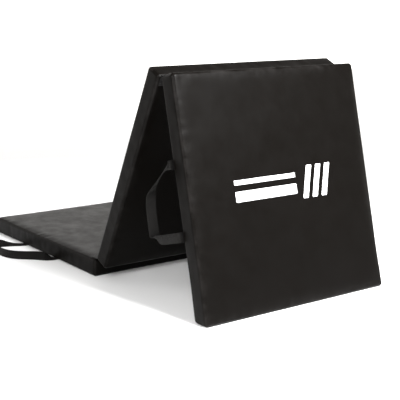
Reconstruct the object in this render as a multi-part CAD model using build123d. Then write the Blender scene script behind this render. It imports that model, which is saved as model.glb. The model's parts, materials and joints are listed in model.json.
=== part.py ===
from build123d import *
import math
import os

# Folding exercise mat: three boxed foam panels in a sewn cover, joined by two fabric
# hinges that fold in opposite directions, with a webbing carry handle on each outer panel.
# Millimetres. The frame's origin is the centre of the base panel's underside, +Z is up,
# +X runs from the base panel towards the two panels that stand as a tent, and -Y is the
# side that carries the handles.

# Panels
PANEL_LENGTH = 600.0
PANEL_WIDTH = 600.0
PANEL_THICKNESS = 50.0
COVER_THICKNESS = 1.0
EDGE_RADIUS = 8.0
FOAM_GAP = 0.2

# Fabric hinges: each folding line lies just off the two faces that close on each other
HINGE_END_GAP = 3.0
HINGE_FACE_GAP = 2.0
HINGE_LEAF_WIDTH = 30.0
HINGE_LEAF_THICKNESS = 1.0
HINGE_LEAF_INSET = 8.0
HINGE_LINE_CLEARANCE = 0.4

# Pose in which the mat stands: the middle panel's slope above the floor
MIDDLE_SLOPE = 65.5

# Carry handles, webbing on edge. A route's points are (distance along the panel from its
# folding line, distance out from the seam); its radii round the inner points.
WEBBING_WIDTH = 25.0
WEBBING_THICKNESS = 2.2
SEAM_TAIL_LENGTH = 16.0
SEAM_TAIL_THICKNESS = 1.6
POCKET_CLEARANCE = 0.2
SEW_GAP = 0.5

# A pivot is (distance out, height above the panel's underside): the line a loop swings on.
BASE_ROUTE = [(225, 0), (292, 108), (362, 116), (428, 90), (437, 47), (413, 0)]
BASE_RADII = [45, 60, 40, 40]
BASE_PIVOT = (40.5, 13.0)
BASE_END_LENGTH = BASE_PIVOT[0] - 0.5
BASE_LOOP_START = BASE_PIVOT[0] + 0.8
# The webbing starts to twist from flat in the seam towards on edge, as (distance out,
# height). It stays under the pivot, so the loop swings up clear of it.
BASE_TWIST = [(0, 0.5), (0, 2.6), (27, 9.5), (BASE_END_LENGTH, 13.2), (BASE_END_LENGTH, 0.5)]

FRONT_ROUTE = [(220, 0), (276, 80), (339, 96), (402, 98), (399, 0)]
FRONT_RADII = [50, 80, 14]
FRONT_PIVOT = (13.2, 1.0)
FRONT_END_LENGTH = FRONT_PIVOT[0] - 0.3
FRONT_LOOP_START = 2.2

# Print on the front panel: plain stripes, centred on its face
PRINT_THICKNESS = 0.3
BAR_LENGTH = 200.0
BAR_WIDTHS = (12.0, 26.0)
BAR_GAP = 16.0
SLASH_COUNT = 3
SLASH_WIDTH = 18.0
SLASH_GAP = 14.0
SLASH_HEIGHT = 84.0
SLASH_LEAN = 24.0
MARK_GAP = 18.0
PRINT_CORNER = 3.0

# Derived sizes
PITCH = PANEL_LENGTH + 2 * HINGE_END_GAP
FOLD_LINE_X = PANEL_LENGTH / 2 + HINGE_END_GAP
FOLD_LINE_Z = PANEL_THICKNESS + HINGE_FACE_GAP
FOLD_AXIS = Axis((FOLD_LINE_X, 0, FOLD_LINE_Z), (0, 1, 0))
RIDGE_AXIS = Axis((FOLD_LINE_X + PITCH, 0, -HINGE_FACE_GAP), (0, 1, 0))


def ridge_height():
    """Height of the ridge's folding line above the floor in the standing pose."""
    slope = math.radians(MIDDLE_SLOPE)
    across = PANEL_THICKNESS + 2 * HINGE_FACE_GAP
    return FOLD_LINE_Z + PITCH * math.sin(slope) - across * math.cos(slope)


def front_slope():
    """Slope of the front panel at which the rounded inner edge of its foot meets the floor."""
    along = HINGE_END_GAP + PANEL_LENGTH - EDGE_RADIUS
    off = HINGE_FACE_GAP + EDGE_RADIUS
    drop = ridge_height() - EDGE_RADIUS
    return math.degrees(math.asin(drop / math.hypot(along, off)) + math.atan2(off, along))


RIDGE_FOLD = MIDDLE_SLOPE + front_slope()


def block(x, y, z):
    """A box between pairs of coordinates."""
    centre = [(low + high) / 2 for low, high in (x, y, z)]
    return Pos(*centre) * Box(x[1] - x[0], y[1] - y[0], z[1] - z[0])


def rounded_block(inset, radius):
    """The panel's envelope moved in by inset, with every edge rounded."""
    solid = block(
        (inset, PANEL_LENGTH - inset),
        (inset, PANEL_WIDTH - inset),
        (inset, PANEL_THICKNESS - inset),
    )
    return fillet(solid.edges(), radius)


def side_wedge(corners):
    """A prism over the triangle from one side of the panel to its centre."""
    centre = (PANEL_LENGTH / 2, PANEL_WIDTH / 2)
    face = Polygon(*corners, centre, align=None)
    return extrude(face, PANEL_THICKNESS)


def panel_pieces(name, side_names, tails):
    """Foam core, top and bottom sheet and four side bands, in the panel's own frame:
    length along X from 0, width along Y from 0, underside at Z = 0."""
    shell = rounded_block(0, EDGE_RADIUS)
    shell -= rounded_block(COVER_THICKNESS, EDGE_RADIUS - COVER_THICKNESS)
    core_inset = COVER_THICKNESS + FOAM_GAP
    core = rounded_block(core_inset, EDGE_RADIUS - core_inset)
    for tail in tails:
        core -= offset(tail, POCKET_CLEARANCE)
    whole = ((0, PANEL_LENGTH), (0, PANEL_WIDTH))
    low, high = EDGE_RADIUS, PANEL_THICKNESS - EDGE_RADIUS
    bottom = shell & block(*whole, (0, low))
    for tail in tails:
        bottom -= tail
    pieces = {
        f"{name}_foam": core,
        f"{name}_bottom_sheet": bottom,
        f"{name}_top_sheet": shell & block(*whole, (high, PANEL_THICKNESS)),
    }
    ring = shell & block(*whole, (low, high))
    near_left, near_right = (0, 0), (PANEL_LENGTH, 0)
    far_left, far_right = (0, PANEL_WIDTH), (PANEL_LENGTH, PANEL_WIDTH)
    sides = [
        (near_left, near_right),
        (far_right, far_left),
        (far_left, near_left),
        (near_right, far_right),
    ]
    for side, corners in zip(side_names, sides):
        pieces[f"{name}_{side}_band"] = ring & side_wedge(corners)
    return pieces


def hinge_leaf(at_far_end, on_top):
    """The half of a hinge's fabric strip that is sewn to one panel."""
    reach = HINGE_END_GAP - HINGE_LINE_CLEARANCE
    along = (-reach, HINGE_LEAF_WIDTH)
    if at_far_end:
        along = (PANEL_LENGTH - HINGE_LEAF_WIDTH, PANEL_LENGTH + reach)
    height = (-HINGE_LEAF_THICKNESS, 0)
    if on_top:
        height = (PANEL_THICKNESS, PANEL_THICKNESS + HINGE_LEAF_THICKNESS)
    return block(along, (HINGE_LEAF_INSET, PANEL_WIDTH - HINGE_LEAF_INSET), height)


def webbing(route, radii, along, height):
    """Webbing on edge along a route, in the panel's frame. along turns a distance from the
    folding line into the panel's X, and height is the middle of the webbing's width."""
    points = [(along(distance), -out) for distance, out in route]
    path = FilletPolyline(*points, radius=radii)
    start = Plane(origin=path @ 0, z_dir=path % 0, x_dir=(0, 0, 1))
    section = start * Rectangle(WEBBING_WIDTH, WEBBING_THICKNESS)
    strap = sweep(section, path=path)
    return Pos(0, 0, height) * strap


def seam_tail(x, out):
    """The flat end of a handle's webbing, caught in the seam under the foam."""
    height = (COVER_THICKNESS, COVER_THICKNESS + SEAM_TAIL_THICKNESS)
    half = WEBBING_WIDTH / 2
    return block((x - half, x + half), (-out, SEAM_TAIL_LENGTH), height)


def beyond(distance):
    """Everything further out from the seam than a distance."""
    along = (0, PANEL_LENGTH)
    return block(along, (-PANEL_WIDTH, -distance), (-WEBBING_WIDTH, 2 * WEBBING_WIDTH))


def twist_prism():
    """The outline of the webbing's twist, run along the whole panel."""
    outline = [(-out, height) for out, height in BASE_TWIST]
    face = Plane.YZ * Polygon(*outline, align=None)
    return extrude(face, PANEL_LENGTH)


def base_handle(along):
    """The base panel's handle lies on the floor: its loop and its two fixed ends."""
    strap = webbing(BASE_ROUTE, BASE_RADII, along, BASE_PIVOT[1])
    tails = [seam_tail(along(BASE_ROUTE[i][0]), SEW_GAP) for i in (0, -1)]
    ends = strap & twist_prism()
    for tail in tails:
        ends += tail
    return strap & beyond(BASE_LOOP_START), ends, tails


def front_handle(along):
    """The front panel's handle, its loop turned to hang on the inner side of the tent."""
    pivot_out, pivot_height = FRONT_PIVOT
    strap = webbing(FRONT_ROUTE, FRONT_RADII, along, 0)
    loop = strap & beyond(FRONT_LOOP_START)
    loop = loop.rotate(Axis.X, 90)
    loop = Pos(0, -pivot_out, pivot_height) * loop
    tails = [seam_tail(along(FRONT_ROUTE[i][0]), FRONT_END_LENGTH) for i in (0, -1)]
    return loop, tails[0] + tails[1], tails


def front_print():
    """Three slanted stripes beside two plain bars, as a thin film on the front panel."""
    slash_step = SLASH_WIDTH + SLASH_GAP
    slashes_width = SLASH_COUNT * slash_step - SLASH_GAP
    total = BAR_LENGTH + MARK_GAP + slashes_width + SLASH_LEAN
    left = -total / 2
    shapes = []
    height = -(sum(BAR_WIDTHS) + BAR_GAP) / 2
    for width in BAR_WIDTHS:
        centre = (height + width / 2, left + BAR_LENGTH / 2)
        shapes.append(Pos(*centre) * RectangleRounded(width, BAR_LENGTH, PRINT_CORNER))
        height += width + BAR_GAP
    first = left + BAR_LENGTH + MARK_GAP
    for number in range(SLASH_COUNT):
        start = first + number * slash_step
        top, bottom = -SLASH_HEIGHT / 2, SLASH_HEIGHT / 2
        corners = [
            (top, start + SLASH_LEAN),
            (top, start + SLASH_LEAN + SLASH_WIDTH),
            (bottom, start + SLASH_WIDTH),
            (bottom, start),
        ]
        slash = Polygon(*corners, align=None)
        shapes.append(fillet(slash.vertices(), PRINT_CORNER))
    centre = Pos(PANEL_LENGTH / 2, PANEL_WIDTH / 2, PANEL_THICKNESS)
    return [centre * extrude(shape, PRINT_THICKNESS, dir=(0, 0, 1)) for shape in shapes]


def at_base(shape):
    """From the panel's own frame to the base panel's place."""
    return Pos(-PANEL_LENGTH / 2, -PANEL_WIDTH / 2, 0) * shape


def at_middle(shape):
    """From the panel's own frame to the middle panel's place, leaning up from the fold."""
    flat = Pos(FOLD_LINE_X + HINGE_END_GAP, -PANEL_WIDTH / 2, 0) * shape
    return flat.rotate(FOLD_AXIS, -MIDDLE_SLOPE)


def at_front(shape):
    """From the panel's own frame to the front panel's place, leaning back to the floor."""
    flat = Pos(FOLD_LINE_X + PITCH + HINGE_END_GAP, -PANEL_WIDTH / 2, 0) * shape
    folded = flat.rotate(RIDGE_AXIS, RIDGE_FOLD)
    return folded.rotate(FOLD_AXIS, -MIDDLE_SLOPE)


def solids_of(shape):
    """The solids of one shape or of a list of shapes."""
    shapes = shape if isinstance(shape, list) else [shape]
    return [solid for item in shapes for solid in item.solids()]


def build():
    """Every node's name with its shape in its place."""
    base_loop, base_ends, base_tails = base_handle(
        lambda distance: PANEL_LENGTH + HINGE_END_GAP - distance
    )
    front_loop, front_ends, front_tails = front_handle(
        lambda distance: distance - HINGE_END_GAP
    )
    base = panel_pieces("base", ("near", "far", "outer", "fold"), base_tails)
    base["fold_hinge_base_leaf"] = hinge_leaf(True, True)
    base["base_handle_ends"] = base_ends
    base["base_handle_loop"] = base_loop
    middle = panel_pieces("middle", ("near", "far", "fold", "ridge"), [])
    middle["fold_hinge_middle_leaf"] = hinge_leaf(False, True)
    middle["ridge_hinge_middle_leaf"] = hinge_leaf(True, False)
    front = panel_pieces("front", ("near", "far", "ridge", "foot"), front_tails)
    front["ridge_hinge_front_leaf"] = hinge_leaf(False, False)
    front["front_handle_ends"] = front_ends
    front["front_handle_loop"] = front_loop
    front["front_print"] = front_print()
    placed = {}
    for pieces, place in ((base, at_base), (middle, at_middle), (front, at_front)):
        for name, shape in pieces.items():
            placed[name] = [place(solid) for solid in solids_of(shape)]
    return placed


os.makedirs("parts", exist_ok=True)
for node, solids in build().items():
    shape = solids[0] if len(solids) == 1 else Compound(children=solids)
    export_step(shape, f"parts/{node}.step")
print("front panel slope", round(front_slope(), 4), "ridge fold", round(RIDGE_FOLD, 4))
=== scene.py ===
import json
import math

import bmesh
import bpy
import numpy as np
from mathutils import Matrix, Vector
from mathutils.bvhtree import BVHTree


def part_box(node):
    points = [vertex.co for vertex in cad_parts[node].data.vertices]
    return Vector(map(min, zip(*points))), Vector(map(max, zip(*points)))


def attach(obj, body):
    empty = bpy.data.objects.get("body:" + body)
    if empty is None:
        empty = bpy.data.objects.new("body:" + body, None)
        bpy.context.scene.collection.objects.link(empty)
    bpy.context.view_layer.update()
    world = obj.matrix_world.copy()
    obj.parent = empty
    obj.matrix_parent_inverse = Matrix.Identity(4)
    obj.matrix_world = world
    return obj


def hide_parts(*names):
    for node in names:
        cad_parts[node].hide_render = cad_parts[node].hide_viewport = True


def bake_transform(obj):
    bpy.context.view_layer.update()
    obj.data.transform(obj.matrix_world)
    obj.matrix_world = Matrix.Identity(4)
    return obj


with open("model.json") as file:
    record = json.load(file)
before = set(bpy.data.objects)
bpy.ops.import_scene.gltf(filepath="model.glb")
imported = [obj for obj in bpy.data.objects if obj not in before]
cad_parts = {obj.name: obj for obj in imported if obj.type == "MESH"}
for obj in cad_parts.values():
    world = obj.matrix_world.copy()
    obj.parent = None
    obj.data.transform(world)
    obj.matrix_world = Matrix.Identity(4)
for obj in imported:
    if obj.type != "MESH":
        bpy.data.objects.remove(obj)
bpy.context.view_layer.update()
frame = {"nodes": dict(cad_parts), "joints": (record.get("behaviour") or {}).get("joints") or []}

# Folding exercise mat, in metres. Each panel is a foam block in a sewn cover. A panel's own
# frame has x along its length, y across it and z up from its underside.

# ---------------------------------------------------------------- sizes from the frame
JOINTS = {joint["name"]: joint for joint in frame["joints"]}
FOLD_LINE = Vector(JOINTS["fold_hinge"]["pos_m"])
RIDGE_LINE = Vector(JOINTS["ridge_hinge"]["pos_m"])
BASE_SWING = Vector(JOINTS["base_handle_swing"]["pos_m"])
FRONT_ALONG = -Vector(JOINTS["front_handle_swing"]["axis"]).normalized()

BASE_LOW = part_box("base_bottom_sheet")[0]
BASE_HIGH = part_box("base_top_sheet")[1]
LENGTH = BASE_HIGH.x - BASE_LOW.x
WIDTH = BASE_HIGH.y - BASE_LOW.y
THICKNESS = BASE_HIGH.z - BASE_LOW.z
END_GAP = FOLD_LINE.x - BASE_HIGH.x
FACE_GAP = FOLD_LINE.z - BASE_HIGH.z
LEAF_WIDTH = BASE_HIGH.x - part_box("fold_hinge_base_leaf")[0].x
STRIP_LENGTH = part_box("fold_hinge_base_leaf")[1].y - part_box("fold_hinge_base_leaf")[0].y

# ---------------------------------------------------------------- sewn cover
FACE_AXIS = 2
EDGE_RADIUS = 0.0085
ROUND_ANGLES = (45, 30, 15, 0)
LONG_CELLS = 60
SHORT_CELLS = 3
SMALLER = 0.0004  # the cover before it swells, inside the panel's nominal size
FIRST_SEED = 11

# How far the faces and the side bands swell at most, and over what distance without the sim.
CROWN = 0.0016
BAND_CROWN = 0.0007

# The cloth simulation.
SIM_FRAMES = 20
SIM_QUALITY = 6
SIM_MASS = 0.25
SIM_STRETCH = 20
SIM_SHEAR = 8
SIM_BENDING = 12
SIM_PRESSURE = 3.0
SIM_SLACK = 0.0025
SIM_JITTER = 0.0002
JITTER_MARGIN = 0.005
HELD_REACH = 1e-4

# Seams, the puckers that fade away from them and the slow waves between.
SEAM_DEPTH = 0.0007
SEAM_WIDTH = 0.0022
SEAM_WORN_REACH = 0.006
PUCKER_HEIGHT = 0.0004
BAND_PUCKER = 0.2
PUCKER_START = 0.004
PUCKER_REACH = 0.022
PUCKER_LENGTHS = (0.019, 0.052)
SWELL_LENGTHS = (0.12, 0.4)
SWELL_LIMITS = (0.1, 1.4)
WAVE_COUNT = 10
WAVE_HEIGHT = 0.0006
WAVE_LENGTHS = (0.09, 0.30)
WAVE_START = 0.03

# The front panel's end, spread flat on the floor.
FLOOR_CLEARANCE = 0.0002
SOLE_LENGTH = 0.11
SOLE_RISE = 0.0012
SOLE_SPREAD = 0.0022

# ---------------------------------------------------------------- hinge strips
# The leaves of the strips on each panel, as (at its far end, on its top face).
LEAVES = {
    "base": ((True, True),),
    "middle": ((False, True), (True, False)),
    "front": ((False, False),),
}
# How far a face may stand out between folded panels, and under a leaf.
FACE_ROOM = 0.0017
LEAF_ROOM = 0.0003
LEAF_MARGIN = 0.003
LEAF_FADE = 0.035
# The strips, the hems round their edges and the stitches on the hems.
STRIP_MARGIN = (WIDTH - STRIP_LENGTH) / 2
STRIP_ROWS = 118
STRIP_THICKNESS = 0.0007
STRIP_EDGE_ROUNDING = 0.0012
STRIP_LIFT = 0.0004
STRIP_RISE_REACH = 0.014
STRIP_RISE = FACE_GAP - 0.0006
STRIP_BEND_CELLS = 8
BEND_REACH = 0.006
HEM_THICKNESS = 0.0004
HEM_WIDTH = 0.009
HEM_CELLS = 5
HEM_STEP = 0.003
HEM_OUTSIDE = 0.001
HEM_FADE = 0.0015
LEAF_CELLS = 8
TOUCH_SIDES = (-0.004, 0, 0.004)
TOUCH_ROWS = 7
STITCH_LENGTH = 0.0032
STITCH_PITCH = 0.0046
STITCH_RADIUS = 0.0003
STITCH_INSETS = (0.0025, 0.0072)
STITCH_END_MARGIN = 0.004
STITCH_LIFT = 0.00005

# ---------------------------------------------------------------- webbing
WEB_WIDTH = 0.025
WEB_THICKNESS = 0.0019
WEB_STEP = 0.003
# The top half of the strap's section with its thicker edges, as parts of half its width and
# half its thickness.
WEB_HALF_SECTION = (
    (-1, 0), (-0.97, 0.7), (-0.9, 1.12), (-0.8, 0.92), (-0.4, 0.9), (0, 0.9),
    (0.4, 0.9), (0.8, 0.92), (0.9, 1.12), (0.97, 0.7), (1, 0),
)

# ---------------------------------------------------------------- print
PRINT_LIFT = 0.00022
PRINT_CELL = 0.006
PRINT_CORNER = 0.003
BAR_LENGTH = 0.200
BAR_WIDTHS = (0.012, 0.026)
BAR_GAP = 0.016
SLASH_COUNT = 3
SLASH_WIDTH = 0.018
SLASH_GAP = 0.014
SLASH_HEIGHT = 0.084
SLASH_LEAN = 0.024
MARK_GAP = 0.018

# ---------------------------------------------------------------- looks
PEBBLE_SCALE = 850.0
WEAVE_SCALE = 420.0
RIB_SCALE = 165.0
RIB_SLANT = 0.55
COVER_TONES = ((0.0015, 0.0011, 0.0008), (0.0023, 0.0018, 0.0014))
# The colour of the painted shade in the cover grain's pits.
COVER_PIT_SHADE = (0.001, 0.001, 0.001, 1)
COVER_WORN = (0.034, 0.031, 0.030, 1)
WORN_AMOUNT = 0.3
WEAVE_TONES = ((0.003, 0.003, 0.003), (0.011, 0.010, 0.009))
WEAVE_DUST = (0.006, 0.005, 0.005, 1)
THREAD_TONES = ((0.008, 0.008, 0.008), (0.030, 0.028, 0.026))
INK_TONES = ((0.70, 0.70, 0.70), (0.77, 0.77, 0.76))
# The colour of the painted shade in the print's pits.
INK_PIT_SHADE = (0.5, 0.5, 0.5, 1)
PAPER_TONES = ((0.86, 0.86, 0.86), (0.88, 0.88, 0.88))

# ---------------------------------------------------------------- studio
FLOOR_HALF = 5.0
# The floor's painted glow: the distances over which it grows, and its strength near and far.
GLOW_REACH = (1.5, 3.2)
GLOW = (0.04, 0.8)
SKY_COLOUR = (1.0, 0.98, 0.95, 1)
SKY_FORWARD = (-0.75, 0.66, 0.0)
SKY_TURN = (-0.35, 0.7)
SKY_NEAR = 0.3
SKY_FAR = 2.5
SKY_HEIGHTS = (0.2, 0.5)
SKY_TOP = 0.15
# Each light's name, place, target, side and power.
LIGHTS = (
    ("key_above", (0.4, -0.8, 3.4), (0.4, 0, 0), 3.0, 26),
    ("fill_front", (2.3, -2.3, 1.7), (0.5, -0.2, 0), 1.4, 100),
    ("side_right", (2.1, 0.25, 1.8), (0.65, -0.2, 0.55), 0.9, 200),
)
CAMERA_PLACE = Vector((2.591, -1.687, 0.814))
CAMERA_AZIMUTH = math.radians(52.67)
CAMERA_ELEVATION = math.radians(12.53)
CAMERA_ROLL = math.radians(0.92)
SENSOR = 36.0
LENS = 91.0


class Panel:
    """One panel's place at rest, and the CAD body that it moves with."""

    def __init__(self, name, along, corner):
        self.name = name
        self.body = f"{name}_panel"
        across = Vector((0, 1, 0))
        up = along.cross(across)
        turned = Matrix((along, across, up)).transposed().to_4x4()
        self.matrix = Matrix.Translation(corner) @ turned
        self.surface = None  # the cover's shape in the panel's own frame, once it is made

    def out(self, points):
        """Points of the panel's own frame, moved to the row frame."""
        turned = np.array(self.matrix.to_3x3())
        return np.asarray(points) @ turned.T + np.array(self.matrix.translation)

    def point(self, x, y, z):
        """One point of the panel's own frame, moved to the row frame."""
        return self.matrix @ Vector((x, y, z))


def make_panels():
    """The three panels: flat on the floor, leaning up from it, and leaning back down."""
    half = WIDTH / 2
    base = Panel("base", Vector((1, 0, 0)), Vector((BASE_LOW.x, -half, 0)))
    rise = RIDGE_LINE - FOLD_LINE
    across = math.atan2(THICKNESS + 2 * FACE_GAP, LENGTH + 2 * END_GAP)
    slope = math.atan2(rise.z, rise.x) + across
    middle_along = Vector((math.cos(slope), 0, math.sin(slope)))
    middle_up = Vector((-math.sin(slope), 0, math.cos(slope)))
    corner = FOLD_LINE + END_GAP * middle_along - (THICKNESS + FACE_GAP) * middle_up
    middle = Panel("middle", middle_along, corner - Vector((0, half, 0)))
    front_up = FRONT_ALONG.cross(Vector((0, 1, 0)))
    corner = RIDGE_LINE + END_GAP * FRONT_ALONG + FACE_GAP * front_up
    front = Panel("front", FRONT_ALONG, corner - Vector((0, half, 0)))
    return base, middle, front


# ================================================================ meshes
def new_object(name, points, faces, material, smooth=True):
    mesh = bpy.data.meshes.new(name)
    mesh.from_pydata([tuple(p) for p in points], [], faces)
    mesh.validate()
    mesh.update()
    mesh.polygons.foreach_set("use_smooth", [smooth] * len(mesh.polygons))
    if material:
        mesh.materials.append(material)
    obj = bpy.data.objects.new(name, mesh)
    bpy.context.scene.collection.objects.link(obj)
    return obj


def points_of(obj):
    """The mesh's points as an array."""
    found = np.empty(len(obj.data.vertices) * 3, np.float32)
    obj.data.vertices.foreach_get("co", found)
    return found.reshape(-1, 3).astype(float)


def set_points(obj, points):
    obj.data.vertices.foreach_set("co", np.asarray(points, np.float32).ravel())
    obj.data.update()


def normals_of(obj):
    found = np.empty(len(obj.data.vertices) * 3, np.float32)
    obj.data.vertex_normals.foreach_get("vector", found)
    return found.reshape(-1, 3).astype(float)


def set_value(obj, name, values):
    """A number at each point, for the material to read."""
    attribute = obj.data.attributes.new(name, "FLOAT", "POINT")
    attribute.data.foreach_set("value", np.asarray(values, np.float32))


def set_flat(obj, places):
    """Each point's place on the cloth laid out flat, in metres, for the weave."""
    layer = obj.data.uv_layers.new(name="cloth")
    corners = np.empty(len(obj.data.loops), np.int32)
    obj.data.loops.foreach_get("vertex_index", corners)
    layer.data.foreach_set("uv", np.array(places, np.float32)[corners].ravel())


def apply_modifiers(obj):
    graph = bpy.context.evaluated_depsgraph_get()
    mesh = bpy.data.meshes.new_from_object(obj.evaluated_get(graph))
    obj.modifiers.clear()
    old, obj.data = obj.data, mesh
    bpy.data.meshes.remove(old)


def smoothstep(t):
    t = np.clip(t, 0, 1)
    return t * t * (3 - 2 * t)


# ================================================================ cover
def lattice(length, cells):
    """Lines across a block's side, closer together where its ends round over."""
    ends = [EDGE_RADIUS * (1 - math.tan(math.radians(a))) for a in ROUND_ANGLES]
    step = (length - 2 * EDGE_RADIUS) / cells
    middle = [EDGE_RADIUS + step * i for i in range(1, cells)]
    return ends + middle + [length - end for end in reversed(ends)]


def rounded(points, size):
    """Points of a block's surface, moved in to where its edges round over."""
    inner = np.clip(points, EDGE_RADIUS, size - EDGE_RADIUS)
    out = points - inner
    return inner + EDGE_RADIUS * out / np.linalg.norm(out, axis=1)[:, None]


def block_mesh(size):
    """Points and faces of a rounded block: a grid on each side, joined along the edges."""
    lines = [
        lattice(size[0], LONG_CELLS),
        lattice(size[1], LONG_CELLS),
        lattice(size[2], SHORT_CELLS),
    ]
    last = [len(line) - 1 for line in lines]
    index, points, faces = {}, [], []

    def corner(key):
        if key not in index:
            index[key] = len(points)
            points.append([lines[axis][key[axis]] for axis in range(3)])
        return index[key]

    for axis in range(3):
        first, second = (axis + 1) % 3, (axis + 2) % 3
        for end in (0, last[axis]):
            for i in range(last[first]):
                for j in range(last[second]):
                    ring = []
                    for a, b in ((i, j), (i + 1, j), (i + 1, j + 1), (i, j + 1)):
                        key = [0, 0, 0]
                        key[axis], key[first], key[second] = end, a, b
                        ring.append(corner(tuple(key)))
                    faces.append(ring if end else ring[::-1])
    return rounded(np.array(points), size), faces


def seam_distances(points, size):
    """For each point, its side's axis, and for both directions along that side the way to
    the nearest seam (round the edge's curve) and the end that seam is at."""
    inner = np.clip(points, EDGE_RADIUS, size - EDGE_RADIUS)
    out = points - inner
    side = np.abs(out).argmax(axis=1)
    rows = np.arange(len(points))
    outward = np.abs(out[rows, side])
    found = []
    for turn in (1, 2):
        axis = (side + turn) % 3
        here, reach = points[rows, axis], size[axis]
        inside = np.minimum(here, reach - here) - EDGE_RADIUS
        angle = np.arctan2(np.abs(out[rows, axis]), outward)
        away = np.maximum(inside, 0) + EDGE_RADIUS * np.maximum(math.pi / 4 - angle, 0)
        found.append((axis, away, here > reach / 2))
    return side, found


def nearest_seam(found):
    """The way to the nearest seam, from what seam_distances gives for both directions."""
    (_, first, _), (_, second, _) = found
    return np.minimum(first, second)


def waves(rng, along, lengths, count=9):
    """An uneven wave of height about 1, from a few sines of lengths in a range."""
    total = np.zeros_like(along)
    for _ in range(count):
        length = rng.uniform(*lengths)
        phase = rng.uniform(0, 2 * math.pi)
        total += np.sin(2 * math.pi * along / length + phase) * rng.uniform(0.5, 1)
    usual_height = math.sqrt(count) / 1.3
    return total / usual_height


def puckers(rng, along, along_axis, side, at_end, at_top):
    """The wave of puckers beside the seams, drawn anew for every seam of every side."""
    pucker = np.zeros(len(along))
    for seam_axis in range(3):
        for seam_side in range(3):
            for top, end in ((False, False), (False, True), (True, False), (True, True)):
                mask = (along_axis == seam_axis) & (side == seam_side)
                mask &= (at_end == end) & (at_top == top)
                wave = waves(rng, along[mask], PUCKER_LENGTHS)
                swell = 0.55 + 0.45 * waves(rng, along[mask], SWELL_LENGTHS, 4)
                pucker[mask] = wave * np.clip(swell, *SWELL_LIMITS)
    return pucker


def sculpt(obj, size, seed):
    """Sewn seams, the puckers beside them and the slow waves of a cover on foam."""
    points, normals = points_of(obj), normals_of(obj)
    side, found = seam_distances(points, size)
    rng = np.random.default_rng(seed)
    rows = np.arange(len(points))
    at_top = (points > size / 2)[rows, side]
    pucker_height = PUCKER_HEIGHT * np.where(side == FACE_AXIS, 1, BAND_PUCKER)
    move = np.zeros(len(points))
    for axis, away, at_end in found:
        along_axis = 3 - side - axis
        along = points[rows, along_axis]
        move -= SEAM_DEPTH * np.exp(-((away / SEAM_WIDTH) ** 2))
        fade = np.exp(-away / PUCKER_REACH) * smoothstep(away / PUCKER_START)
        move += pucker_height * puckers(rng, along, along_axis, side, at_end, at_top) * fade
    nearest = nearest_seam(found)
    slow = np.zeros(len(points))
    for _ in range(WAVE_COUNT):
        way = rng.normal(size=3)
        way /= np.linalg.norm(way)
        slow += waves(rng, points @ way, WAVE_LENGTHS, 1)
    move += WAVE_HEIGHT * slow / math.sqrt(WAVE_COUNT) * smoothstep(nearest / WAVE_START)
    set_points(obj, points + normals * move[:, None])
    return nearest


def inflate(obj, size, seed):
    """The fabric swells a little over the foam, held by its seams."""
    rest, normals = points_of(obj), normals_of(obj)
    side, found = seam_distances(rest, size)
    nearest = nearest_seam(found)
    rng = np.random.default_rng(seed)
    held = obj.vertex_groups.new(name="held")
    for index in np.nonzero(nearest < HELD_REACH)[0]:
        held.add([int(index)], 1.0, "REPLACE")
    jitter = rng.normal(size=len(rest)) * SIM_JITTER * (nearest > JITTER_MARGIN)
    set_points(obj, rest + normals * jitter[:, None])
    cloth = obj.modifiers.new("cloth", "CLOTH")
    settings = cloth.settings
    settings.quality = SIM_QUALITY
    settings.mass = SIM_MASS
    settings.tension_stiffness = SIM_STRETCH
    settings.compression_stiffness = SIM_STRETCH
    settings.shear_stiffness = SIM_SHEAR
    settings.bending_stiffness = SIM_BENDING
    settings.vertex_group_mass = "held"
    settings.shrink_min = -SIM_SLACK
    settings.use_pressure = True
    settings.uniform_pressure_force = SIM_PRESSURE
    settings.effector_weights.gravity = 0
    cloth.collision_settings.use_collision = False
    cloth.point_cache.frame_start = 1
    cloth.point_cache.frame_end = SIM_FRAMES
    scene = bpy.context.scene
    scene.frame_start, scene.frame_end = 1, SIM_FRAMES
    for number in range(1, SIM_FRAMES + 1):
        scene.frame_set(number)
    apply_modifiers(obj)
    moved = points_of(obj) - rest
    far = np.linalg.norm(moved, axis=1)[:, None]
    most = np.where(side == FACE_AXIS, CROWN, BAND_CROWN)[:, None]
    kept = most * np.tanh(far / most)
    set_points(obj, rest + moved * kept / np.maximum(far, 1e-9))


def make_cover(panel, seed, material):
    """A panel's sewn cover over its foam, in the row frame."""
    size = np.array((LENGTH, WIDTH, THICKNESS))
    small = size - 2 * SMALLER
    points, faces = block_mesh(small)
    obj = new_object(f"{panel.name}_cover", points, faces, material)
    inflate(obj, small, seed)
    fine = obj.modifiers.new("fine", "SUBSURF")
    fine.levels = fine.render_levels = 1
    apply_modifiers(obj)
    nearest = sculpt(obj, small, seed)
    points = points_of(obj) + SMALLER
    press_faces(panel, points)
    if panel.name == "base":
        points[:, 2] = np.maximum(points[:, 2], FLOOR_CLEARANCE)
    if panel.name == "front":
        settle_on_foot(panel, points)
    placed = panel.out(points)
    placed[:, 2] = np.maximum(placed[:, 2], FLOOR_CLEARANCE)
    faces = [tuple(face.vertices) for face in obj.data.polygons]
    panel.surface = BVHTree.FromPolygons([tuple(p) for p in points], faces)
    set_points(obj, placed)
    set_value(obj, "seam", np.exp(-nearest / SEAM_WORN_REACH))
    obj.data.polygons.foreach_set("use_smooth", [True] * len(obj.data.polygons))
    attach(obj, panel.body)
    names = [n for n in frame["nodes"] if n.startswith(f"{panel.name}_")]
    names = [n for n in names if n.endswith(("_foam", "_sheet", "_band"))]
    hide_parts(*names)


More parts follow.
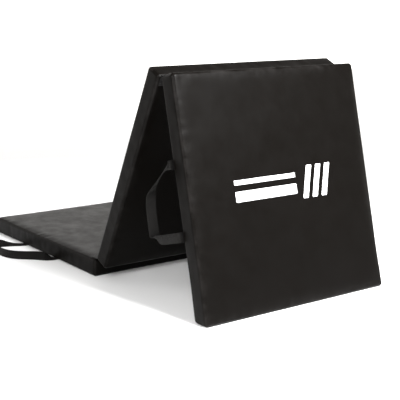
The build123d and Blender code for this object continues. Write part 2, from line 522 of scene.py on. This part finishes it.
def press_faces(panel, points):
    """The faces swell by less than half the gap between folded panels, and lie flatter
    where a hinge strip is sewn over them."""
    for on_top in (True, False):
        room = np.full(len(points), FACE_ROOM)
        for at_far_end, leaf_on_top in LEAVES[panel.name]:
            if leaf_on_top != on_top:
                continue
            inwards = LENGTH - points[:, 0] if at_far_end else points[:, 0]
            away = smoothstep((inwards - LEAF_WIDTH - LEAF_MARGIN) / LEAF_FADE)
            room = np.minimum(room, LEAF_ROOM + (FACE_ROOM - LEAF_ROOM) * away)
        rise = points[:, 2] - THICKNESS if on_top else -points[:, 2]
        kept = np.where(rise > 0, room * np.tanh(rise / room), rise)
        points[:, 2] = THICKNESS + kept if on_top else -kept


def settle_on_foot(panel, points):
    """The panel stands on its foot, so its end spreads until the sole is flat on the floor."""
    along, up = panel.matrix.col[0].z, panel.matrix.col[2].z
    sole = -(panel.matrix.translation.z + points[:, 2] * up) / along
    sole -= SOLE_RISE * points[:, 2] / THICKNESS
    near = smoothstep((points[:, 0] - LENGTH + SOLE_LENGTH) / SOLE_LENGTH)
    points[:, 0] += (sole - LENGTH) * near
    points[:, 1] += SOLE_SPREAD * near * (points[:, 1] / WIDTH * 2 - 1)


def face_height(panel, x, y, on_top):
    """The height of the cover's top face or underside, above the panel's own floor."""
    start = THICKNESS * (2 if on_top else -1)
    way = Vector((0, 0, -1 if on_top else 1))
    spot, _, _, _ = panel.surface.ray_cast(Vector((x, y, start)), way)
    if spot is None:
        return THICKNESS if on_top else 0.0
    return spot.z


# ================================================================ hinge strips
def cover_swell(panel, x, rows, on_top):
    """How far the cover stands out along a line across the panel, bridged over its dips."""
    swell = []
    for y in rows:
        heights = [face_height(panel, x, y + side, on_top) for side in TOUCH_SIDES]
        swell.append(max(heights) - THICKNESS if on_top else -min(heights))
    padded = np.pad(swell, TOUCH_ROWS // 2, mode="edge")
    return np.convolve(padded, np.ones(TOUCH_ROWS) / TOUCH_ROWS, "valid")


def line_over(panel, x, rows, lift, on_top):
    """Points across the panel, standing off its top or its underside, in the row frame."""
    heights = THICKNESS + lift if on_top else -lift
    return panel.out([(x, y, height) for y, height in zip(rows, heights)])


def leaf_profile(panel, at_far_end, on_top, rows):
    """A leaf's lines across the panel from its outer edge towards the folding line: for each
    one, the points of the strip's middle at every row, in the row frame."""
    hem = np.linspace(0, HEM_WIDTH, HEM_CELLS)
    leaf = np.linspace(HEM_WIDTH + HEM_STEP, LEAF_WIDTH, LEAF_CELLS)
    lines = []
    for step in np.concatenate([hem, leaf]):
        inwards = LEAF_WIDTH - step
        x = LENGTH - inwards if at_far_end else inwards
        lying = cover_swell(panel, x, rows, on_top) + STRIP_LIFT
        rise = smoothstep((STRIP_RISE_REACH - inwards) / STRIP_RISE_REACH)
        lift = (1 - rise) * lying + rise * STRIP_RISE
        lines.append(line_over(panel, x, rows, lift, on_top))
    return lines


def make_strip(name, low, high, on_top, material):
    """The fabric strip over a folding line, from one panel's leaf to the other's."""
    rows = np.linspace(STRIP_MARGIN, WIDTH - STRIP_MARGIN, STRIP_ROWS)
    first = leaf_profile(low, True, on_top, rows)
    second = leaf_profile(high, False, on_top, rows)[::-1]
    axis = FOLD_LINE if on_top else RIDGE_LINE
    line = np.array([(axis.x, y - WIDTH / 2, axis.z) for y in rows])
    start = line + (first[-1] - line) * 0.9
    end = second[0]
    bend = [
        start * (1 - t) ** 2 + line * 2 * t * (1 - t) + end * t * t
        for t in np.linspace(0.12, 1, STRIP_BEND_CELLS, endpoint=False)
    ]
    return thick_sheet(name, np.array(first + bend + second), material)


def distances(middle, axis):
    """How far each line of a grid of points lies from the first, along the grid."""
    steps = np.linalg.norm(np.diff(middle, axis=axis), axis=2).mean(axis=1 - axis)
    return np.concatenate([[0], np.cumsum(steps)])


def thick_sheet(name, middle, material):
    """A closed thin sheet about a grid of points, with a hem folded round its edge."""
    down = np.gradient(middle, axis=0)
    side = np.gradient(middle, axis=1)
    normal = np.cross(down, side)
    normal /= np.linalg.norm(normal, axis=2)[:, :, None]
    count, rows = middle.shape[:2]
    travel = distances(middle, 0)
    across = distances(middle, 1)
    to_edge = np.minimum(travel, travel[-1] - travel)[:, None]
    to_end = np.minimum(across, across[-1] - across)[None, :]
    edge = np.minimum(to_edge, to_end)
    hem = smoothstep((HEM_WIDTH + HEM_OUTSIDE - edge) / HEM_FADE)
    rounding = np.sqrt(np.clip(edge / STRIP_EDGE_ROUNDING, 0.05, 1))
    half = (STRIP_THICKNESS + HEM_THICKNESS * hem) * rounding / 2
    top = middle + normal * half[:, :, None]
    bottom = middle - normal * half[:, :, None]
    points = np.concatenate([top.reshape(-1, 3), bottom.reshape(-1, 3)])
    faces = []
    under = count * rows
    for i in range(count - 1):
        for j in range(rows - 1):
            a, b = i * rows + j, (i + 1) * rows + j
            faces.append((a, b, b + 1, a + 1))
            faces.append((under + a, under + a + 1, under + b + 1, under + b))
    rim = [i * rows for i in range(count)]
    rim += [(count - 1) * rows + j for j in range(1, rows)]
    rim += [i * rows + rows - 1 for i in range(count - 2, -1, -1)]
    rim += list(range(rows - 2, 0, -1))
    for a, b in zip(rim, rim[1:] + rim[:1]):
        faces.append((a, under + a, under + b, b))
    obj = new_object(name, points, faces, material)
    flat = np.stack(np.meshgrid(travel, across, indexing="ij"), axis=2).reshape(-1, 2)
    set_flat(obj, np.concatenate([flat, flat]))
    return obj


def stitch_shape():
    """One stitch lying along x: a short rounded thread."""
    rings = [(-0.5, 0.35), (-0.36, 0.9), (0, 1.0), (0.36, 0.9), (0.5, 0.35)]
    sides = 6
    points, faces = [], []
    for place, wide in rings:
        for k in range(sides):
            angle = 2 * math.pi * k / sides
            points.append((place, wide * math.cos(angle), wide * math.sin(angle)))
    for ring in range(len(rings) - 1):
        for k in range(sides):
            a, b = ring * sides + k, ring * sides + (k + 1) % sides
            faces.append((a, b, b + sides, a + sides))
    faces.append(tuple(range(sides))[::-1])
    faces.append(tuple(range((len(rings) - 1) * sides, len(rings) * sides)))
    return np.array(points), faces


def make_stitches(name, lines, material):
    """Rows of stitches. Each line is (points, way up), with a stitch at every point."""
    shape, shape_faces = stitch_shape()
    points, faces = [], []
    for spots, up in lines:
        for i, spot in enumerate(spots):
            other = spots[i + 1] if i + 1 < len(spots) else spots[i - 1]
            way = other - spot
            way /= np.linalg.norm(way)
            side = np.cross(up, way)
            offset = len(points)
            for px, py, pz in shape:
                place = way * px * STITCH_LENGTH
                place = place + side * py * STITCH_RADIUS + up * pz * STITCH_RADIUS
                points.append(spot + place)
            faces += [tuple(offset + k for k in face) for face in shape_faces]
    return new_object(name, points, faces, material)


def strip_stitches(panel, at_far_end, on_top, name, material):
    """Two rows of stitches along a leaf, on the face of its hem."""
    up = np.array(panel.matrix.to_3x3() @ Vector((0, 0, 1 if on_top else -1)))
    margin = STRIP_MARGIN + STITCH_END_MARGIN
    rows = np.arange(margin, WIDTH - margin, STITCH_PITCH)
    hem_top = STRIP_LIFT + (STRIP_THICKNESS + HEM_THICKNESS) / 2
    lines = []
    for inset in STITCH_INSETS:
        inwards = LEAF_WIDTH - inset
        x = LENGTH - inwards if at_far_end else inwards
        lift = cover_swell(panel, x, rows, on_top) + hem_top + STITCH_LIFT
        lines.append((line_over(panel, x, rows, lift, on_top), up))
    obj = make_stitches(name, lines, material)
    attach(obj, panel.body)


# ================================================================ webbing
def smooth_route(stations, rounds=5):
    """Corner cutting on rows of (place, width direction), with both ends kept."""
    rows = np.array(stations, float)
    for _ in range(rounds):
        start = rows[:-1] * 0.75 + rows[1:] * 0.25
        end = rows[:-1] * 0.25 + rows[1:] * 0.75
        cut = np.empty((2 * len(start), rows.shape[1]))
        cut[0::2], cut[1::2] = start, end
        rows = np.concatenate([rows[:1], cut[1:-1], rows[-1:]])
    return rows


def spaced(rows, step):
    """The rows at even distances along their line."""
    steps = np.linalg.norm(np.diff(rows[:, :3], axis=0), axis=1)
    travel = np.concatenate([[0], np.cumsum(steps)])
    at = np.linspace(0, travel[-1], int(travel[-1] / step) + 1)
    columns = [np.interp(at, travel, rows[:, k]) for k in range(rows.shape[1])]
    return np.stack(columns, axis=1), at


def make_webbing(name, rows, place, material):
    """A strap through the rows: its middle line, with its width turned as they say."""
    rows, travel = spaced(rows, WEB_STEP)
    middle = rows[:, :3]
    way = np.gradient(middle, axis=0)
    way /= np.linalg.norm(way, axis=1)[:, None]
    wide = rows[:, 3:]
    wide = wide - way * (wide * way).sum(axis=1)[:, None]
    wide /= np.linalg.norm(wide, axis=1)[:, None]
    thin = np.cross(way, wide)
    section = WEB_HALF_SECTION + tuple((a, -h) for a, h in WEB_HALF_SECTION[-2:0:-1])
    around = len(section)
    points, spots = [], []
    for i in range(len(rows)):
        for a, h in section:
            reach = wide[i] * a * WEB_WIDTH / 2 + thin[i] * h * WEB_THICKNESS / 2
            points.append(middle[i] + reach)
            spots.append((a * WEB_WIDTH / 2, travel[i]))
    faces = []
    for i in range(len(rows) - 1):
        for k in range(around):
            a, b = i * around + k, i * around + (k + 1) % around
            faces.append((a, b, b + around, a + around))
    faces.append(tuple(range(around))[::-1])
    faces.append(tuple(range((len(rows) - 1) * around, len(rows) * around)))
    obj = new_object(name, place(points), faces, material)
    set_flat(obj, spots)
    return obj


def make_base_handle(panel, material):
    """The base panel's handle: a loop that lies on the floor on its edge, twisted flat
    where its ends are sewn in under the panel's side. Rows are (distance from the folding
    line, distance out, height) and the width's direction in the same terms."""
    flat, edge = 0.0016, 0.0133
    stations = [
        (0.225, -0.014, flat, 1, 0, 0.0),
        (0.225, 0.004, flat, 1, 0, 0.05),
        (0.229, 0.020, 0.0065, 0.8, 0, 0.6),
        (0.238, 0.038, edge, 0.2, 0, 1),
        (0.262, 0.070, edge, 0, 0, 1),
        (0.286, 0.098, edge, 0, 0, 1),
        (0.318, 0.1125, edge, 0, 0, 1),
        (0.356, 0.1145, edge, 0, 0, 1),
        (0.398, 0.106, edge, 0.03, 0, 1),
        (0.427, 0.089, edge, 0.10, 0, 1),
        (0.436, 0.066, 0.0105, 0.5, 0, 0.85),
        (0.434, 0.044, 0.0045, 0.9, 0, 0.35),
        (0.424, 0.022, flat, 1, 0, 0.1),
        (0.414, 0.004, flat, 1, 0, 0.0),
        (0.413, -0.014, flat, 1, 0, 0),
    ]
    rows = smooth_route(stations)
    far = LENGTH + END_GAP

    def place(points):
        points = np.asarray(points)
        own = np.stack([far - points[:, 0], -points[:, 1], points[:, 2]], axis=1)
        placed = panel.out(own)
        placed[:, 2] = np.maximum(placed[:, 2], FLOOR_CLEARANCE)
        return placed

    obj = make_webbing("base_handle_webbing", rows, place, material)
    turn = place([(0.3, 0.022, BASE_SWING.z), (0.3, 0.060, BASE_SWING.z)])
    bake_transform(obj)
    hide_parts("base_handle_loop", "base_handle_ends")


def make_front_handle(panel, material):
    """The front panel's handle: a loop that hangs into the tent. Rows are (distance from
    the folding line, distance out, depth below the panel's inner face) and the width's
    direction in the same terms."""
    seam = -0.0018
    stations = [
        (0.218, -0.014, seam, 1, 0, 0),
        (0.218, 0.004, seam, 1, 0.1, -0.1),
        (0.219, 0.0105, -0.0005, 0.9, 0.4, -0.3),
        (0.222, 0.0125, 0.007, 0.5, 0.65, -0.55),
        (0.232, 0.013, 0.024, 0.25, 0.70, -0.65),
        (0.250, 0.0132, 0.050, 0.22, 0.72, -0.62),
        (0.266, 0.0132, 0.074, 0.25, 0.85, -0.30),
        (0.279, 0.0132, 0.086, 0.15, 0.90, 0.15),
        (0.300, 0.0132, 0.094, 0, 0.80, 0.50),
        (0.334, 0.0132, 0.0975, 0, 0.79, 0.56),
        (0.368, 0.0132, 0.098, 0, 0.80, 0.56),
        (0.385, 0.0132, 0.0985, -0.5, 0.75, 0.45),
        (0.393, 0.0132, 0.090, -0.85, 0.50, 0.2),
        (0.395, 0.0130, 0.070, -0.98, 0.2, 0.0),
        (0.394, 0.0128, 0.040, -1, 0.05, 0),
        (0.393, 0.0125, 0.010, -1, 0, 0),
        (0.393, 0.0105, -0.0005, -1, 0, 0),
        (0.393, 0.004, seam, -1, 0, 0),
        (0.393, -0.014, seam, -1, 0, 0),
    ]
    rows = smooth_route(stations, 4)

    def place(points):
        points = np.asarray(points)
        own = np.stack([points[:, 0] - END_GAP, -points[:, 1], -points[:, 2]], axis=1)
        return panel.out(own)

    obj = make_webbing("front_handle_webbing", rows, place, material)
    turn = place([(0.3, 0.002, -0.002), (0.3, 0.0132, 0.014)])
    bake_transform(obj)
    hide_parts("front_handle_loop", "front_handle_ends")


# ================================================================ print
def soft_outline(corners, radius, steps=5):
    """A polygon with its corners rounded."""
    outline = []
    count = len(corners)
    for i in range(count):
        here = Vector(corners[i])
        before = (Vector(corners[i - 1]) - here).normalized()
        after = (Vector(corners[(i + 1) % count]) - here).normalized()
        reach = radius / math.tan(before.angle(after) / 2)
        start, end = here + before * reach, here + after * reach
        for k in range(steps + 1):
            t = k / steps
            outline.append(start * (1 - t) ** 2 + here * 2 * t * (1 - t) + end * t * t)
    return outline


def print_outlines():
    """Two plain bars beside three slanted stripes, about the middle of the face."""
    step = SLASH_WIDTH + SLASH_GAP
    total = BAR_LENGTH + MARK_GAP + SLASH_COUNT * step - SLASH_GAP + SLASH_LEAN
    left = -total / 2
    outlines = []
    x = -(sum(BAR_WIDTHS) + BAR_GAP) / 2
    for width in BAR_WIDTHS:
        right = left + BAR_LENGTH
        outlines.append([(x, left), (x + width, left), (x + width, right), (x, right)])
        x += width + BAR_GAP
    top, bottom = -SLASH_HEIGHT / 2, SLASH_HEIGHT / 2
    for number in range(SLASH_COUNT):
        start = left + BAR_LENGTH + MARK_GAP + number * step
        end = start + SLASH_WIDTH
        outlines.append(
            [(top, start + SLASH_LEAN), (bottom, start), (bottom, end), (top, end + SLASH_LEAN)]
        )
    return outlines


def make_print(panel, material):
    """The print's film, laid on the front panel's cover."""
    mesh = bmesh.new()
    for corners in print_outlines():
        ring = [
            mesh.verts.new((LENGTH / 2 + p.x, WIDTH / 2 + p.y, 0))
            for p in soft_outline(corners, PRINT_CORNER)
        ]
        mesh.faces.new(ring)
    for axis, size in ((0, LENGTH), (1, WIDTH)):
        way = Vector((1, 0, 0)) if axis == 0 else Vector((0, 1, 0))
        for k in range(1, int(size / PRINT_CELL)):
            geometry = mesh.verts[:] + mesh.edges[:] + mesh.faces[:]
            bmesh.ops.bisect_plane(
                mesh, geom=geometry, dist=1e-7, plane_co=way * k * PRINT_CELL, plane_no=way
            )
    for vert in mesh.verts:
        vert.co.z = face_height(panel, vert.co.x, vert.co.y, True) + PRINT_LIFT
    bmesh.ops.recalc_face_normals(mesh, faces=mesh.faces[:])
    rim = [edge for edge in mesh.edges if edge.is_boundary]
    skirt = bmesh.ops.extrude_edge_only(mesh, edges=rim)
    for item in skirt["geom"]:
        if isinstance(item, bmesh.types.BMVert):
            item.co.z -= 2 * PRINT_LIFT
    points = [tuple(v.co) for v in mesh.verts]
    mesh.verts.index_update()
    faces = [[v.index for v in face.verts] for face in mesh.faces]
    mesh.free()
    obj = new_object("front_print_film", panel.out(points), faces, material)
    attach(obj, panel.body)
    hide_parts("front_print")


# ================================================================ materials
class Shader:
    """A material and its nodes."""

    def __init__(self, name, **sockets):
        self.material = bpy.data.materials.new(name)
        self.material.use_nodes = True
        self.nodes = self.material.node_tree.nodes
        self.links = self.material.node_tree.links
        self.surface = self.nodes["Principled BSDF"]
        for socket, value in sockets.items():
            self.surface.inputs[socket.replace("_", " ")].default_value = value

    def node(self, kind, inputs=None, **values):
        made = self.nodes.new(kind)
        for key, value in values.items():
            setattr(made, key, value)
        for key, value in (inputs or {}).items():
            if isinstance(value, bpy.types.NodeSocket):
                self.links.new(value, made.inputs[key])
            else:
                made.inputs[key].default_value = value
        return made

    def place(self):
        return self.node("ShaderNodeTexCoord").outputs["Object"]

    def flat(self):
        return self.node("ShaderNodeUVMap", uv_map="cloth").outputs["UV"]

    def noise(self, where, scale, detail=4.0, rough=0.5):
        inputs = {"Vector": where, "Scale": scale, "Detail": detail, "Roughness": rough}
        return self.node("ShaderNodeTexNoise", inputs).outputs["Fac"]

    def pebbles(self, where):
        """The cover's grain, which shows through the print too: the bumps' heights, and the mask
        for the painted shade in their pits.
        """
        inputs = {"Vector": where, "Scale": PEBBLE_SCALE}
        made = self.node("ShaderNodeTexVoronoi", inputs, feature="SMOOTH_F1")
        return made.outputs["Distance"]

    def stripes(self, where, direction, scale, distortion, detail=1.0, detail_scale=1.0):
        """Even threads side by side, a little uneven along their length."""
        inputs = {"Vector": where, "Scale": scale, "Distortion": distortion}
        inputs.update({"Detail": detail, "Detail Scale": detail_scale})
        made = self.node("ShaderNodeTexWave", inputs, bands_direction=direction)
        return made.outputs["Fac"]

    def spread(self, value, low, high, to_low, to_high):
        inputs = {0: value, 1: low, 2: high, 3: to_low, 4: to_high}
        return self.node("ShaderNodeMapRange", inputs).outputs[0]

    def maths(self, operation, first, second):
        inputs = {0: first, 1: second}
        return self.node("ShaderNodeMath", inputs, operation=operation).outputs[0]

    def colours(self, value, first, second):
        mix = self.node("ShaderNodeMix", {0: value}, data_type="RGBA")
        mix.inputs[6].default_value = (*first, 1)
        mix.inputs[7].default_value = (*second, 1)
        return mix.outputs[2]

    def mix(self, value, first, second):
        inputs = {0: value, 6: first, 7: second}
        return self.node("ShaderNodeMix", inputs, data_type="RGBA").outputs[2]

    def bump(self, height, strength, distance, before=None):
        inputs = {"Height": height, "Strength": strength, "Distance": distance}
        if before is not None:
            inputs["Normal"] = before
        return self.node("ShaderNodeBump", inputs).outputs["Normal"]

    def to(self, socket, value):
        self.links.new(value, self.surface.inputs[socket])


def cover_material():
    """Black coated fabric: fine pebbled grain with painted shade darkening its pits, soft
    creases, faint handling marks and seams that have rubbed a little paler."""
    shader = Shader("cover_coated_fabric", Specular_IOR_Level=0.05)
    where = shader.place()
    pebble = shader.pebbles(where)
    fine = shader.noise(where, 2600.0, 2.0)
    creases = shader.noise(where, 55.0, 6.0, 0.6)
    drift = shader.noise(where, 5.0, 3.0)
    smudge = shader.noise(where, 22.0, 5.0, 0.65)
    seam = shader.node("ShaderNodeAttribute", attribute_name="seam").outputs["Fac"]
    worn = shader.maths("MULTIPLY", seam, shader.spread(smudge, 0.42, 0.7, 0.0, 1.0))
    tone = shader.colours(drift, *COVER_TONES)
    # Painted shade: the grain's pits, where the bump is lowest, are darkened in the colour.
    tone = shader.mix(shader.spread(pebble, 0.0, 0.55, 0.35, 0.0), tone, COVER_PIT_SHADE)
    tone = shader.mix(shader.maths("MULTIPLY", worn, WORN_AMOUNT), tone, COVER_WORN)
    shader.to("Base Color", tone)
    rough = shader.spread(smudge, 0.35, 0.7, 0.38, 0.48)
    rough = shader.maths("ADD", rough, shader.maths("MULTIPLY", worn, 0.08))
    shader.to("Roughness", rough)
    normal = shader.bump(creases, 0.12, 0.0010)
    normal = shader.bump(pebble, 0.14, 0.0004, normal)
    normal = shader.bump(fine, 0.05, 0.0002, normal)
    shader.to("Normal", normal)
    return shader.material


def hinge_material():
    """Black woven polyester: a fine plain weave that shows as dots of thread."""
    shader = Shader("hinge_woven_fabric", Sheen_Weight=0.02, Specular_IOR_Level=0.12)
    where = shader.flat()
    warp = shader.stripes(where, "X", WEAVE_SCALE, 0.4)
    weft = shader.stripes(where, "Y", WEAVE_SCALE, 0.4)
    weave = shader.maths("MULTIPLY", warp, weft)
    drift = shader.noise(where, 30.0, 4.0)
    tone = shader.colours(weave, *WEAVE_TONES)
    tone = shader.mix(shader.spread(drift, 0.3, 0.8, 0.0, 0.5), tone, WEAVE_DUST)
    shader.to("Base Color", tone)
    shader.to("Roughness", shader.spread(drift, 0.3, 0.7, 0.55, 0.72))
    normal = shader.bump(drift, 0.25, 0.001)
    shader.to("Normal", shader.bump(weave, 0.6, 0.0004, normal))
    return shader.material


def webbing_material():
    """Black polypropylene webbing: ribs across the strap in two slanted halves."""
    shader = Shader("webbing_ribbed", Specular_IOR_Level=0.07)
    split = shader.node("ShaderNodeSeparateXYZ", {0: shader.flat()})
    across = shader.maths("ABSOLUTE", split.outputs[0], 0.0)
    lean = shader.maths("MULTIPLY", across, RIB_SLANT)
    slant = shader.maths("ADD", split.outputs[1], lean)
    where = shader.node("ShaderNodeCombineXYZ", {0: slant, 1: split.outputs[0]}).outputs[0]
    ribs = shader.stripes(where, "X", RIB_SCALE, 0.3, 2.0, 3.0)
    threads = shader.stripes(where, "Y", 2 * RIB_SCALE, 0.2)
    weave = shader.maths("MULTIPLY", ribs, shader.spread(threads, 0.0, 1.0, 0.55, 1.0))
    drift = shader.noise(shader.place(), 45.0, 4.0)
    shader.to("Base Color", shader.colours(weave, *WEAVE_TONES))
    shader.to("Roughness", shader.spread(drift, 0.3, 0.7, 0.42, 0.6))
    shader.to("Normal", shader.bump(weave, 0.8, 0.0006))
    return shader.material


def thread_material():
    """Black sewing thread with a slight lustre."""
    shader = Shader("thread_twisted", Sheen_Weight=0.05, Specular_IOR_Level=0.25)
    twist = shader.noise(shader.place(), 3000.0, 2.0)
    shader.to("Base Color", shader.colours(twist, *THREAD_TONES))
    shader.to("Roughness", shader.spread(twist, 0.3, 0.7, 0.35, 0.55))
    shader.to("Normal", shader.bump(twist, 0.5, 0.0002))
    return shader.material


def print_material():
    """White screen print: a thin ink film that takes on the cover's grain, with painted shade
    darkening its pits.
    """
    shader = Shader("print_white_ink", Specular_IOR_Level=0.4)
    where = shader.place()
    pebble = shader.pebbles(where)
    drift = shader.noise(where, 60.0, 5.0)
    tone = shader.colours(drift, *INK_TONES)
    # Painted shade: the ink is greyed in the grain's pits, where the bump is lowest.
    tone = shader.mix(shader.spread(pebble, 0.0, 0.5, 0.12, 0.0), tone, INK_PIT_SHADE)
    shader.to("Base Color", tone)
    shader.to("Roughness", shader.spread(drift, 0.3, 0.7, 0.4, 0.55))
    shader.to("Normal", shader.bump(pebble, 0.2, 0.0003))
    return shader.material


def floor_material():
    """Pale paper with a painted glow, faint near the mat and strong further away, so that it
    runs into the white backdrop.
    """
    shader = Shader("floor_paper", Roughness=0.85, Specular_IOR_Level=0.1)
    where = shader.place()
    shader.to("Base Color", shader.colours(shader.noise(where, 2.0, 2.0), *PAPER_TONES))
    shader.surface.inputs["Emission Color"].default_value = SKY_COLOUR
    away = shader.node("ShaderNodeVectorMath", {0: where}, operation="LENGTH").outputs["Value"]
    # Painted light: the floor glows, more the further it lies from the mat.
    shader.to("Emission Strength", shader.spread(away, *GLOW_REACH, *GLOW))
    return shader.material


# ================================================================ studio
def make_camera():
    """The camera looks down at the mat's near side, from beyond the front panel."""
    flat = math.cos(CAMERA_ELEVATION)
    ahead = Vector(
        (
            -math.sin(CAMERA_AZIMUTH) * flat,
            math.cos(CAMERA_AZIMUTH) * flat,
            -math.sin(CAMERA_ELEVATION),
        )
    )
    right = ahead.cross(Vector((0, 0, 1))).normalized()
    up = right.cross(ahead)
    cos_roll, sin_roll = math.cos(CAMERA_ROLL), math.sin(CAMERA_ROLL)
    rolled_right = cos_roll * right + sin_roll * up
    rolled_up = cos_roll * up - sin_roll * right
    turned = Matrix((rolled_right, rolled_up, -ahead)).transposed().to_4x4()
    data = bpy.data.cameras.new("camera")
    data.sensor_width = SENSOR
    data.lens = LENS
    camera = bpy.data.objects.new("camera", data)
    camera.matrix_world = Matrix.Translation(CAMERA_PLACE) @ turned
    bpy.context.scene.collection.objects.link(camera)
    bpy.context.scene.camera = camera


def soft_light(name, place, target, side, power):
    """A square studio softbox aimed at a point."""
    data = bpy.data.lights.new(name, "AREA")
    data.shape = "SQUARE"
    data.size = side
    data.energy = power
    light = bpy.data.objects.new(name, data)
    light.location = place
    aim = Vector(target) - Vector(place)
    light.rotation_euler = aim.to_track_quat("-Z", "Y").to_euler()
    bpy.context.scene.collection.objects.link(light)


def make_sky():
    """A pale sky: brightest low down beyond the mat, dimmer overhead and behind the camera."""
    world = bpy.data.worlds.new("studio")
    world.use_nodes = True
    nodes, links = world.node_tree.nodes, world.node_tree.links
    where = nodes.new("ShaderNodeTexCoord").outputs["Generated"]

    def ramp(way, low, high, to_low, to_high):
        along = nodes.new("ShaderNodeVectorMath")
        along.operation = "DOT_PRODUCT"
        along.inputs[1].default_value = way
        links.new(where, along.inputs[0])
        shade = nodes.new("ShaderNodeMapRange")
        shade.interpolation_type = "SMOOTHSTEP"
        for socket, value in zip((1, 2, 3, 4), (low, high, to_low, to_high)):
            shade.inputs[socket].default_value = value
        links.new(along.outputs["Value"], shade.inputs[0])
        return shade.outputs[0]

    both = nodes.new("ShaderNodeMath")
    both.operation = "MULTIPLY"
    links.new(ramp(SKY_FORWARD, *SKY_TURN, SKY_NEAR, SKY_FAR), both.inputs[0])
    links.new(ramp((0, 0, 1), *SKY_HEIGHTS, 1, SKY_TOP), both.inputs[1])
    links.new(both.outputs[0], nodes["Background"].inputs["Strength"])
    nodes["Background"].inputs["Color"].default_value = SKY_COLOUR
    return world


def make_studio():
    """A pale floor under a graded sky, with softboxes above, in front and to the right."""
    corners = [(-1, -1), (1, -1), (1, 1), (-1, 1)]
    points = [(x * FLOOR_HALF, y * FLOOR_HALF, 0) for x, y in corners]
    floor = new_object("floor", points, [(0, 1, 2, 3)], floor_material(), smooth=False)
    bpy.context.scene.world = make_sky()
    bpy.context.scene.view_settings.view_transform = "Standard"
    for name, place, target, side, power in LIGHTS:
        soft_light(name, place, target, side, power)


# ================================================================ the mat
def main():
    cover = cover_material()
    hinge = hinge_material()
    webbing = webbing_material()
    thread = thread_material()
    base, middle, front = make_panels()
    for seed, panel in enumerate((base, middle, front)):
        make_cover(panel, FIRST_SEED + seed, cover)
    strips = (("fold_hinge", base, middle, True), ("ridge_hinge", middle, front, False))
    for name, low, high, on_top in strips:
        strip = make_strip(f"{name}_strip", low, high, on_top, hinge)
        surface = THICKNESS + FACE_GAP if on_top else -FACE_GAP
        start = low.point(LENGTH + END_GAP - BEND_REACH, WIDTH / 2, surface)
        end = high.point(BEND_REACH - END_GAP, WIDTH / 2, surface)
        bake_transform(strip)
        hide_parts(f"{name}_{low.name}_leaf", f"{name}_{high.name}_leaf")
        strip_stitches(low, True, on_top, f"{name}_{low.name}_stitches", thread)
        strip_stitches(high, False, on_top, f"{name}_{high.name}_stitches", thread)
    make_base_handle(base, webbing)
    make_front_handle(front, webbing)
    make_print(front, print_material())
    make_camera()
    make_studio()


main()
